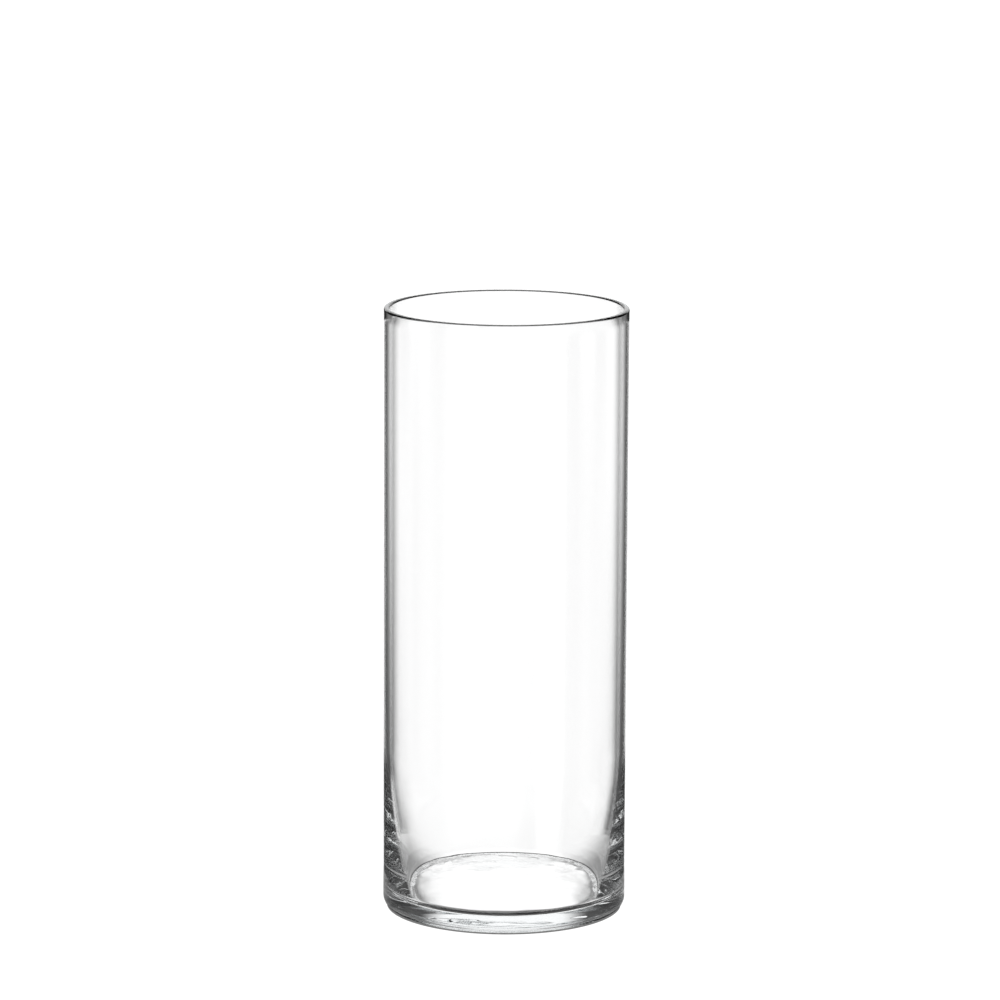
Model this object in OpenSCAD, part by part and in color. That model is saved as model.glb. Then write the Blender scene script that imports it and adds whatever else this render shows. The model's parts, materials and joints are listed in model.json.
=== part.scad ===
// Glass cylinder vase: one piece of clear blown glass, turned about Z.
// The origin is at the middle of the foot, on the surface that the vase stands on, with +Z up.
// The section is drawn with the radius along X and the height along Y.

/* [Overall] */
// Outside diameter of the straight wall
outer_d = 120; // [90:1:180]
// Height from the foot to the top of the rim
height = 300; // [200:1:450]

/* [Wall] */
// Thickness of the wall where it is plain
wall = 3; // [2:0.1:5]
// Radius of the fire-polished rim's inner and outer edges
rim_round = 1.2; // [0.3:0.1:2]

/* [Base] */
// Thickness of the floor near the heel
floor_t = 7; // [6:0.1:14]
// Thickness that the lower wall's long taper would reach at floor level
heel_wall = 10; // [8:0.1:15]
// Height at which the lower wall has thinned to the plain wall
taper_top = 80; // [60:1:150]
// Radius of the inside heel, between the floor and the lower wall
heel_r = 5; // [4:0.5:16]

/* [Foot] */
// Radius of the outside corner at the foot
corner_r = 5; // [2:0.5:8]
// Width of the flat ring that the vase stands on
foot_ring_w = 4; // [3:0.5:10]
// Depth of the hollow under the base, at its middle
hollow_d = 2; // [0.5:0.1:3.5]

/* [Hidden] */
$fn = 256;
clear_glass = [0.88, 0.94, 0.93, 0.4];
overrun = 10;  // how far the cutting shapes run past the glass

outer_r = outer_d / 2;
inner_r = outer_r - wall;
rim_r = min(rim_round, 0.4 * wall);
rim_z = height - rim_r;

// Long arc of the taper, tangent to the plain wall at taper_top
taper_steps = 12;
taper_drop = taper_top - floor_t;
taper_gain = heel_wall - wall;
taper_r = (pow(taper_drop, 2) + pow(taper_gain, 2)) / (2 * taper_gain);
taper_c = [inner_r - taper_r, taper_top];

// Heel arc, tangent to the floor and to the long arc, which it meets in the direction join_a
heel_steps = 10;
heel_c = [taper_c.x + sqrt(pow(taper_r - heel_r, 2) - pow(taper_drop - heel_r, 2)), floor_t + heel_r];
join_a = atan2(heel_c.y - taper_c.y, heel_c.x - taper_c.x);

// Shallow dome under the base, inside the foot ring
hollow_rim_r = outer_r - corner_r - foot_ring_w;
hollow_r = (pow(hollow_rim_r, 2) + pow(hollow_d, 2)) / (2 * hollow_d);

// Points along an arc about c from angle a0 to a1, without the first one
function arc(c, r, a0, a1, steps) =
    [for (i = [1:steps]) let (a = a0 + (a1 - a0) * i / steps) c + r * [cos(a), sin(a)]];

// The outside up to the rim's edge arcs, with the rounded foot corner
module outside_section() {
    square([outer_r - corner_r, rim_z]);
    translate([0, corner_r]) square([outer_r, rim_z - corner_r]);
    translate([outer_r - corner_r, corner_r]) circle(corner_r);
}

// The rim above the outside section: a narrow flat between two edge arcs
module rim_section() {
    translate([inner_r + rim_r, rim_z]) circle(rim_r);
    translate([outer_r - rim_r, rim_z]) circle(rim_r);
    translate([inner_r + rim_r, rim_z - rim_r]) square([wall - 2 * rim_r, 2 * rim_r]);
}

// The inside: the flat floor, the heel, the long taper and the plain bore
module inside_section() {
    polygon(concat(
        [[0, height + overrun], [0, floor_t], [heel_c.x, floor_t]],
        arc(heel_c, heel_r, -90, join_a, heel_steps),
        arc(taper_c, taper_r, join_a, 0, taper_steps),
        [[inner_r, height + overrun]]
    ));
}

// The shallow dome under the base
module hollow_section() {
    intersection() {
        translate([0, hollow_d - hollow_r]) circle(hollow_r);
        translate([0, -overrun]) square([outer_r, overrun + hollow_d]);
    }
}

module glass_vessel() {
    color(clear_glass)
        rotate_extrude() {
            difference() {
                outside_section();
                inside_section();
                hollow_section();
            }
            rim_section();
        }
}

glass_vessel();
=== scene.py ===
"""A clear glass cylinder vase on a lit white table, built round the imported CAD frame."""

import json
import math

import bmesh
import bpy
from mathutils import Matrix, Vector, noise


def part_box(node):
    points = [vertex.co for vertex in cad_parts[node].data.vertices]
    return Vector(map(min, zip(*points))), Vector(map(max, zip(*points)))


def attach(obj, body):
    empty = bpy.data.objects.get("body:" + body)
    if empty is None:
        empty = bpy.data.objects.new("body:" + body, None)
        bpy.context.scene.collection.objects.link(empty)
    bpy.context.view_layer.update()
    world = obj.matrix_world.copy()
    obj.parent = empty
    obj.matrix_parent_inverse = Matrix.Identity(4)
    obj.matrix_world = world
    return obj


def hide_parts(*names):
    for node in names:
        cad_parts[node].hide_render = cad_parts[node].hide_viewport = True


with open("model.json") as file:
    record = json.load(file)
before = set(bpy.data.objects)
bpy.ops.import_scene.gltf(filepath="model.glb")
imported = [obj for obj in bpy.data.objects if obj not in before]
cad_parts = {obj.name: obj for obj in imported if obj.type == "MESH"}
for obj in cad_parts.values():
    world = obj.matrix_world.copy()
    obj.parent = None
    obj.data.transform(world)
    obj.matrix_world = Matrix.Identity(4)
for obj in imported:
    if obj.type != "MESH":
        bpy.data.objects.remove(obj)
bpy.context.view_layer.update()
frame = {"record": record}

# ---- sizes, in metres ---------------------------------------------------------------------

NODE = "glass_vessel"
MM = 0.001
MOUNTS = {m["name"]: m for m in frame["record"]["mounts"]}
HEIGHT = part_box(NODE)[1].z
OUTER_R = MOUNTS["outer_wall"]["dims"]["r_mm"] * MM
INNER_R = MOUNTS["mouth"]["dims"]["r_mm"] * MM
BORE_MIDDLE = MOUNTS["mouth"]["pos_m"][2]
BORE_HALF = MOUNTS["mouth"]["dims"]["length_mm"] * MM / 2
TAPER_TOP = BORE_MIDDLE - BORE_HALF
RIM_R = HEIGHT - (BORE_MIDDLE + BORE_HALF)

# The base, as in the CAD model
FLOOR_T = 7 * MM
HEEL_WALL = 10 * MM
HEEL_R = 5 * MM
CORNER_R = 5 * MM
FOOT_RING_W = 4 * MM
HOLLOW_D = 2 * MM

SIDES = 256  # vertices round the vase
FINE_TOP = 70 * MM  # the outside wall is finely divided up to this height


# ---- the section --------------------------------------------------------------------------

def arc(centre, radius, start, end, steps):
    """Points from angle start to end, in degrees, without the first one."""
    for i in range(1, steps + 1):
        a = math.radians(start + (end - start) * i / steps)
        yield centre[0] + radius * math.cos(a), centre[1] + radius * math.sin(a)


def line(start, end, step):
    """Points from start to end about step apart, without the first one."""
    n = max(1, math.ceil(math.dist(start, end) / step))
    for i in range(1, n + 1):
        yield start[0] + (end[0] - start[0]) * i / n, start[1] + (end[1] - start[1]) * i / n


def section():
    """(radius, height) points of the glass: out under the foot, up, over the rim and down to the floor."""
    drop, gain = TAPER_TOP - FLOOR_T, HEEL_WALL - (OUTER_R - INNER_R)
    taper_r = (drop**2 + gain**2) / (2 * gain)
    taper_c = (INNER_R - taper_r, TAPER_TOP)
    heel_z = FLOOR_T + HEEL_R
    heel_c = (taper_c[0] + math.sqrt((taper_r - HEEL_R) ** 2 - (TAPER_TOP - heel_z) ** 2), heel_z)
    join = math.degrees(math.atan2(heel_c[1] - taper_c[1], heel_c[0] - taper_c[0]))
    hollow_edge = OUTER_R - CORNER_R - FOOT_RING_W
    hollow_r = (hollow_edge**2 + HOLLOW_D**2) / (2 * HOLLOW_D)
    hollow_half = math.degrees(math.asin(hollow_edge / hollow_r))
    fine, coarse = 0.8 * MM, 6 * MM

    points = [(0.0, HOLLOW_D)]
    points += arc((0, HOLLOW_D - hollow_r), hollow_r, 90, 90 - hollow_half, 32)
    points += line(points[-1], (OUTER_R - CORNER_R, 0), fine)
    points += arc((OUTER_R - CORNER_R, CORNER_R), CORNER_R, -90, 0, 12)
    points += line(points[-1], (OUTER_R, FINE_TOP), fine)
    points += line(points[-1], (OUTER_R, HEIGHT - RIM_R), coarse)
    points += arc((OUTER_R - RIM_R, HEIGHT - RIM_R), RIM_R, 0, 90, 8)
    points += line(points[-1], (INNER_R + RIM_R, HEIGHT), 0.3 * MM)
    points += arc((INNER_R + RIM_R, HEIGHT - RIM_R), RIM_R, 90, 180, 8)
    points += line(points[-1], (INNER_R, TAPER_TOP), coarse)
    points += arc(taper_c, taper_r, 0, join, 90)
    points += arc(heel_c, HEEL_R, join, -90, 16)
    points += line(points[-1], (0, FLOOR_T), 1.5 * MM)
    return points


# ---- hand-made unevenness -------------------------------------------------------------------

def smooth(value, start, end):
    """0 before start and 1 after end, with a soft step between them."""
    t = min(1.0, max(0.0, (value - start) / (end - start)))
    return t * t * (3 - 2 * t)


def band(value, start, full, fade, end):
    """1 between full and fade, and 0 before start and after end."""
    return smooth(value, start, full) * (1 - smooth(value, fade, end))


# Level ripples inside the thick lower wall: depth, distance between them, and how far each runs round
RIPPLE_D, RIPPLE_STEP, RIPPLE_RUN = 0.0035 * MM, 2.6 * MM, 200 * MM
STREAK_STEP, STREAK_RUN = RIPPLE_STEP * 0.6, 70 * MM  # finer and shorter ripples between them
STREAK_SHIFT = 40
# Dents in the foot ring and in the edge of the hollow
FOOT_D, FOOT_STEP = 0.6 * MM, 18 * MM
# Slow waves in the floor and in the hollow under it: depth, and length along X, Y and Z
FLOOR_D, FLOOR_WAVE = 0.12 * MM, (22 * MM, 14 * MM, 10 * MM)
FLOOR_SHIFT = 9


def dent(x, y, z, r):
    """How far the real glass lies inside its true surface at a point, in metres. Below 0 it stands out."""
    low_wall = band(r, 46 * MM, 49 * MM, 58 * MM, 59 * MM) * band(z, 9 * MM, 14 * MM, 40 * MM, 75 * MM)
    ripple = noise.noise(Vector((x / RIPPLE_RUN, y / RIPPLE_RUN, z / RIPPLE_STEP)))
    streak = noise.noise(Vector((x / STREAK_RUN, y / STREAK_RUN, z / STREAK_STEP + STREAK_SHIFT)))
    foot = band(r, 40 * MM, 50 * MM, 54.5 * MM, 56.5 * MM) * (1 - smooth(z, 0.8 * MM, 2 * MM))
    rough = noise.fractal(Vector((x, y, 1.5 * z)) / FOOT_STEP, 1.0, 2.0, 2)
    middle = (1 - smooth(r, 36 * MM, 46 * MM)) * (1 - smooth(z, 10 * MM, 14 * MM))
    across, along, up = FLOOR_WAVE
    sag = noise.fractal(Vector((x / across, y / along, z / up + FLOOR_SHIFT)), 1.0, 2.0, 2)
    return (RIPPLE_D * low_wall * (ripple + 0.5 * streak) + FOOT_D * foot * abs(rough)
            + FLOOR_D * middle * sag)


def lathe(name, points, sides):
    """Turns a section about Z into a closed smooth mesh. Its first and last points lie on the axis."""
    bm = bmesh.new()
    rings = []
    for (r0, z0), (r, z), (r1, z1) in zip(points, points[1:], points[2:]):
        out = Vector((z1 - z0, r0 - r1)).normalized()
        ring = []
        for k in range(sides):
            c, s = math.cos(2 * math.pi * k / sides), math.sin(2 * math.pi * k / sides)
            d = -dent(r * c, r * s, z, r)
            ring.append(bm.verts.new(((r + d * out.x) * c, (r + d * out.x) * s, z + d * out.y)))
        rings.append(ring)
    for below, above in zip(rings, rings[1:]):
        for k in range(sides):
            n = (k + 1) % sides
            bm.faces.new((below[k], below[n], above[n], above[k]))
    for ring, (_, z), order in ((rings[0], points[0], -1), (rings[-1], points[-1], 1)):
        tip = bm.verts.new((0, 0, z))
        for k in range(sides):
            pair = (ring[k], ring[(k + 1) % sides])
            bm.faces.new((tip, *pair[::order]))
    for face in bm.faces:
        face.smooth = True
    return new_object(name, bm)


def new_object(name, bm):
    """Turns a bmesh into an object in the scene."""
    mesh = bpy.data.meshes.new(name)
    bm.normal_update()
    bm.to_mesh(mesh)
    bm.free()
    obj = bpy.data.objects.new(name, mesh)
    bpy.context.scene.collection.objects.link(obj)
    return obj


# ---- node helpers -------------------------------------------------------------------------

class Nodes:
    """Shorthand for wiring one node tree."""

    def __init__(self, tree):
        self.tree = tree

    def add(self, kind, **settings):
        node = self.tree.nodes.new("ShaderNode" + kind)
        for key, value in settings.items():
            setattr(node, key, value)
        return node

    def feed(self, socket, value):
        if isinstance(value, bpy.types.NodeSocket):
            self.tree.links.new(value, socket)
        else:
            socket.default_value = value

    def math(self, operation, *values):
        node = self.add("Math", operation=operation)
        for socket, value in zip(node.inputs, values):
            self.feed(socket, value)
        return node.outputs[0]

    def step(self, value, start, end, low=0.0, high=1.0):
        """A soft step from low, before start, to high, after end."""
        node = self.add("MapRange", interpolation_type="SMOOTHSTEP")
        names = ("Value", "From Min", "From Max", "To Min", "To Max")
        for name, number in zip(names, (value, start, end, low, high)):
            self.feed(node.inputs[name], number)
        return node.outputs["Result"]

    def mix(self, a, b, share):
        """a where share is 0 and b where it is 1."""
        return self.math("MULTIPLY_ADD", share, self.math("SUBTRACT", b, a), a)


# ---- materials ----------------------------------------------------------------------------

GLASS_IOR = 1.52
GLASS_TINT, GLASS_DENSITY = (0.835, 0.86, 0.87, 1), 6.0  # the tint builds up along the light's way
FOOT_WEAR = 0.05, 0.35  # roughness of the worn foot ring, at its least and most
WEAR_TOP = 0.1 * MM, 0.6 * MM  # the wear fades out between these heights
FILM = 0.012  # roughness of the faint film elsewhere, at its most
WAVE_D = 0.05 * MM  # height of the slow waves in the surface
WEAR_GRAIN, FILM_GRAIN, WAVE_GRAIN, FINE_WAVE_GRAIN = 1.5 * MM, 40 * MM, 60 * MM, 12 * MM


def glass_material():
    """Clear glass with a worn foot ring, a patchy faint film and slow waves in its surface."""
    material = bpy.data.materials.new("clear_glass")
    material.use_nodes = True
    nodes = Nodes(material.node_tree)
    shader = material.node_tree.nodes["Principled BSDF"]
    for socket, value in (("Base Color", (1, 1, 1, 1)), ("IOR", GLASS_IOR), ("Transmission Weight", 1.0)):
        shader.inputs[socket].default_value = value
    place = nodes.add("TexCoord").outputs["Object"]
    split = nodes.add("SeparateXYZ")
    nodes.feed(split.inputs[0], place)

    def grain(size, detail):
        texture = nodes.add("TexNoise")
        for name, value in (("Vector", place), ("Scale", 1 / size), ("Detail", detail), ("Roughness", 0.5)):
            nodes.feed(texture.inputs[name], value)
        return texture.outputs["Fac"]

    wear = nodes.math("MULTIPLY", nodes.step(split.outputs["Z"], *WEAR_TOP, 1.0, 0.0),
                      nodes.step(grain(WEAR_GRAIN, 3.0), 0.45, 0.60, *FOOT_WEAR))
    film = nodes.step(grain(FILM_GRAIN, 2.0), 0.45, 0.75, 0.0, FILM)
    nodes.feed(shader.inputs["Roughness"], nodes.math("MAXIMUM", wear, film))
    fine_waves = nodes.math("MULTIPLY", grain(FINE_WAVE_GRAIN, 1.0), 0.05)
    waves = nodes.math("MULTIPLY_ADD", grain(WAVE_GRAIN, 1.0), 0.8, fine_waves)
    bump = nodes.add("Bump")
    nodes.feed(bump.inputs["Height"], waves)
    nodes.feed(bump.inputs["Strength"], 1.0)
    nodes.feed(bump.inputs["Distance"], WAVE_D)
    nodes.feed(shader.inputs["Normal"], bump.outputs["Normal"])
    absorb = nodes.add("VolumeAbsorption")
    absorb.inputs["Color"].default_value = GLASS_TINT
    absorb.inputs["Density"].default_value = GLASS_DENSITY
    nodes.feed(material.node_tree.nodes["Material Output"].inputs["Volume"], absorb.outputs["Volume"])
    return material


def emitter(name, strength):
    """White light of an even strength."""
    material = bpy.data.materials.new(name)
    material.use_nodes = True
    tree = material.node_tree
    tree.nodes.clear()
    out = tree.nodes.new("ShaderNodeOutputMaterial")
    light = tree.nodes.new("ShaderNodeEmission")
    light.inputs["Color"].default_value = (1, 1, 1, 1)
    light.inputs["Strength"].default_value = strength
    tree.links.new(light.outputs[0], out.inputs["Surface"])
    return material


# ---- the vase -----------------------------------------------------------------------------

vase = lathe("vase", section(), SIDES)
vase.data.materials.append(glass_material())
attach(vase, "root")
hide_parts(NODE)


# ---- stage --------------------------------------------------------------------------------

WHITE = 1.12  # brightness of the table and the backdrop for the camera, a little past white
BACKDROP_R = 12.0
TABLE_GAP = 0.05 * MM  # how far the table lies under the foot

# Rings of table round the foot, which paint shadow and light on the table for the glass or for the camera:
# inner radius, outer radius and brightness
CONTACT_SHADOW = 48.8 * MM, 59.5 * MM, 0.01
NEAR_TABLE = 59.5 * MM, 98 * MM, 1.0
FOOT_SHADOW = 54 * MM, 58.2 * MM, 0.2
# painted light on the near table behind and in front of the vase, and painted shade beside it
NEAR_BEHIND, NEAR_BESIDE = 1.12, 0.36  # brightness of the near table behind and beside the vase
NEAR_DIMS, NEAR_CLEARS = (30, 62), (100, 125)  # the bearings, either way, over which it changes


def stage_surface(name, bm):
    """A lit white surface for the camera. The glass takes its light from the studio round it instead."""
    obj = new_object(name, bm)
    obj.data.materials.append(emitter(name, WHITE))
    obj.visible_diffuse = obj.visible_glossy = obj.visible_transmission = False
    obj.visible_volume_scatter = obj.visible_shadow = False


def table_ring(name, size, glass_only):
    """A flat ring of table round the foot, seen either by the glass alone or by the camera alone."""
    inner, outer, strength = size
    bm = bmesh.new()
    for k in range(SIDES):
        a, b = 2 * math.pi * k / SIDES, 2 * math.pi * (k + 1) / SIDES
        corners = ((inner, a), (outer, a), (outer, b), (inner, b))
        bm.faces.new([bm.verts.new((r * math.cos(t), r * math.sin(t), -TABLE_GAP / 2)) for r, t in corners])
    obj = new_object(name, bm)
    obj.data.materials.append(emitter(name, strength))
    obj.visible_camera = not glass_only
    obj.visible_transmission = obj.visible_glossy = glass_only
    obj.visible_diffuse = obj.visible_shadow = obj.visible_volume_scatter = False
    return obj


def dim_beside(material):
    """Paints light on a ring of table, full behind the vase and in front of it, with painted shade dimly
    beside it.
    """
    nodes = Nodes(material.node_tree)
    split = nodes.add("SeparateXYZ")
    nodes.feed(split.inputs[0], nodes.add("TexCoord").outputs["Object"])
    x, y, _ = split.outputs
    away = nodes.math("ABSOLUTE", nodes.math("DEGREES", nodes.math("ARCTAN2", x, y)))
    behind = nodes.step(away, *NEAR_DIMS, NEAR_BEHIND, NEAR_BESIDE)
    level = nodes.mix(behind, 1.0, nodes.step(away, *NEAR_CLEARS))
    nodes.feed(material.node_tree.nodes["Emission"].inputs["Strength"], level)


def stage():
    """The table and the backdrop that the camera sees, and the rings of table round the foot."""
    table = bmesh.new()
    bmesh.ops.create_circle(table, cap_ends=True, segments=128, radius=BACKDROP_R,
                            matrix=Matrix.Translation((0, 0, -TABLE_GAP)))
    stage_surface("table", table)
    dome = bmesh.new()
    bmesh.ops.create_uvsphere(dome, u_segments=64, v_segments=32, radius=BACKDROP_R)
    stage_surface("backdrop", dome)
    table_ring("contact_shadow", CONTACT_SHADOW, True)
    dim_beside(table_ring("near_table", NEAR_TABLE, True).active_material)
    table_ring("foot_shadow", FOOT_SHADOW, False)


stage()


# ---- light --------------------------------------------------------------------------------

# Directions in degrees: the bearing turns from +Y towards +X, and the rise is above the horizon.
# A pair is where a soft step starts and ends, and a step in bearing is the same on both sides.
BRIGHT = 1.12  # the lights and the white cards
GAP = 0.06  # the dark flanks of each card
ROOM = 0.02  # the dark studio
HORIZON = -8, 0  # the table gives way to the room
TABLE = 0.85  # the far table
TABLE_SIDE, SIDE_STARTS, SIDE_ENDS = 0.45, (64, 76), (110, 125)  # the table beside the vase
TABLE_UNDER, UNDER = 0.04, (-36, -22)  # the table steeply below
BACKDROP_RISE, BACKDROP_SIDES = (3, 40, 4), (18, 33)  # bottom, top and softness, then bearing
OVERHEAD = 34, 56  # the softbox over the vase
LOW_RISE, LOW_SIDES = (-32, -12, 3), (35, 85)  # the dark gap low behind the vase
CARDS = ((0, -30, 3), (-45, -46, -18), (135, -34, -8), (-90, -9, 3))  # bearing, lowest and highest rise
CARD_SOFT, CARD_SIDES, FLANK_SIDES = 2, (8, 16), (22, 40)


def studio_light():
    """A wide backdrop, a softbox overhead, and white cards low down between dark flanks."""
    world = bpy.data.worlds.new("studio")
    bpy.context.scene.world = world
    world.use_nodes = True
    nodes = Nodes(world.node_tree)
    split = nodes.add("SeparateXYZ")
    nodes.feed(split.inputs[0], nodes.add("TexCoord").outputs["Generated"])
    x, y, z = split.outputs
    bearing = nodes.math("DEGREES", nodes.math("ARCTAN2", x, y))
    rise = nodes.math("DEGREES", nodes.math("ARCSINE", z))

    def away(centre):
        """Degrees between a bearing and the direction that is shaded."""
        turned = nodes.math("SUBTRACT", bearing, centre)
        return nodes.math("ABSOLUTE", nodes.math("WRAP", turned, 180.0, -180.0))

    def fade(centre, step):
        """1 round a bearing and 0 away from it."""
        return nodes.step(away(centre), *step, 1.0, 0.0)

    def window(bottom, top, soft):
        """1 between two rises and 0 outside them."""
        return nodes.math("MULTIPLY", nodes.step(rise, bottom - soft, bottom + soft),
                          nodes.step(rise, top - soft, top + soft, 1.0, 0.0))

    beside = nodes.math("MULTIPLY", nodes.step(away(0.0), *SIDE_STARTS), fade(0.0, SIDE_ENDS))
    table = nodes.mix(TABLE, TABLE_SIDE, beside)
    level = nodes.mix(table, ROOM, nodes.step(rise, *HORIZON))
    level = nodes.mix(level, TABLE_UNDER, nodes.step(rise, *UNDER, 1.0, 0.0))
    backdrop = nodes.math("MULTIPLY", window(*BACKDROP_RISE), fade(0.0, BACKDROP_SIDES))
    level = nodes.mix(level, BRIGHT, backdrop)
    level = nodes.mix(level, BRIGHT, nodes.step(rise, *OVERHEAD))
    level = nodes.mix(level, GAP, nodes.math("MULTIPLY", window(*LOW_RISE), fade(0.0, LOW_SIDES)))
    for centre, bottom, top in CARDS:
        height = window(bottom, top, CARD_SOFT)
        flank = nodes.math("MULTIPLY", height, fade(centre, FLANK_SIDES))
        card = nodes.math("MULTIPLY", height, fade(centre, CARD_SIDES))
        level = nodes.mix(nodes.mix(level, GAP, flank), BRIGHT, card)
    back = world.node_tree.nodes["Background"]
    back.inputs["Color"].default_value = (1, 1, 1, 1)
    nodes.feed(back.inputs["Strength"], level)


studio_light()


# ---- camera -------------------------------------------------------------------------------

CAMERA_BACK, CAMERA_UP = 2.411, 0.6586  # distance in front of the vase's axis, and height
FOCAL = 5.0  # focal length over the frame's width
YAW, PITCH, ROLL = -0.0675, 10.672, 0.278  # degrees: turned right, tipped down, right side raised
BOUNCES = 32  # enough for light that is caught in the thick base


def add_camera():
    data = bpy.data.cameras.new("camera")
    data.sensor_width = 36
    data.lens = FOCAL * data.sensor_width
    data.clip_end = 60
    camera = bpy.data.objects.new("camera", data)
    bpy.context.scene.collection.objects.link(camera)
    yaw, pitch, roll = (math.radians(v) for v in (YAW, PITCH, ROLL))
    forward = Vector((math.sin(yaw) * math.cos(pitch), math.cos(yaw) * math.cos(pitch), -math.sin(pitch)))
    side = Vector((math.cos(yaw), -math.sin(yaw), 0))
    up = side.cross(forward)
    right = math.cos(roll) * side + math.sin(roll) * up
    above = math.cos(roll) * up - math.sin(roll) * side
    turn = Matrix((right, above, -forward)).transposed().to_4x4()
    camera.matrix_world = Matrix.Translation((0, -CAMERA_BACK, CAMERA_UP)) @ turn
    bpy.context.scene.camera = camera


add_camera()

scene = bpy.context.scene
scene.view_settings.view_transform = "Standard"
for kind in ("max", "transmission", "glossy", "transparent_max"):
    setattr(scene.cycles, kind + "_bounces", BOUNCES)
